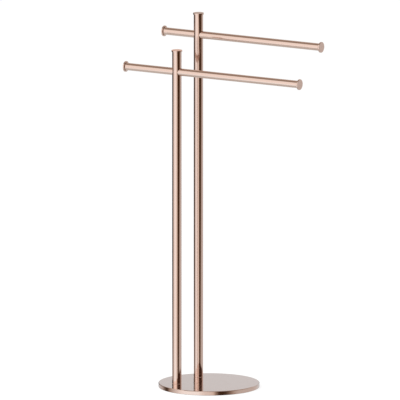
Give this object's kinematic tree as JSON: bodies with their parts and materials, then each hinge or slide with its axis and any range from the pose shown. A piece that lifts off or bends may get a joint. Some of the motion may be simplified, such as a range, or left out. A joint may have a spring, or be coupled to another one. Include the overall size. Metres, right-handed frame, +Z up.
{
  "type": "freestanding towel stand",
  "caption": "Floor stand for towels: posts of different heights on a round weighted base, each crossed near its top by a horizontal arm with flared end caps.",
  "frame": {"origin": "centre of the floor pad's underside, where the stand rests", "axes": "+Z up, +X the way the long ends of the arms point, front post with the lower arm towards -Y"},
  "size_m": [0.5985, 0.3, 1.1107],
  "materials": {
    "rose_gold": "brushed rose gold plating on stainless steel",
    "rose_gold_cap": "rose gold plating on turned brass",
    "plain_steel": "plain oiled steel, hidden inside",
    "zinc_steel": "zinc plated screw steel",
    "raw_brass": "turned brass, unplated, hidden inside",
    "floor_pad": "matt black foam rubber",
    "clear_nylon": "natural nylon",
    "ring_rubber": "black rubber"
  },
  "bodies": {
    "root": {"base_cover": "rose_gold", "base_weight": "plain_steel", "base_pad": "floor_pad", "front_post_seat": "clear_nylon", "front_post_tube": "rose_gold", "front_post_foot": "plain_steel", "front_post_dowel": "plain_steel", "front_post_screw": "zinc_steel", "front_arm_tube": "rose_gold", "front_arm_saddle": "raw_brass", "front_lock_bush": "raw_brass", "front_grub_screw": "zinc_steel", "front_arm_long_cap": "rose_gold_cap", "front_arm_short_cap": "rose_gold_cap", "front_post_cap": "rose_gold_cap", "rear_post_seat": "clear_nylon", "rear_post_tube": "rose_gold", "rear_post_foot": "plain_steel", "rear_post_dowel": "plain_steel", "rear_post_screw": "zinc_steel", "rear_arm_tube": "rose_gold", "rear_arm_saddle": "raw_brass", "rear_lock_bush": "raw_brass", "rear_grub_screw": "zinc_steel", "rear_arm_long_cap": "rose_gold_cap", "rear_arm_short_cap": "rose_gold_cap", "rear_post_cap": "rose_gold_cap", "front_arm_cap_rings": "ring_rubber", "front_post_cap_ring": "ring_rubber", "rear_arm_cap_rings": "ring_rubber", "rear_post_cap_ring": "ring_rubber"}
  },
  "joints": []
}
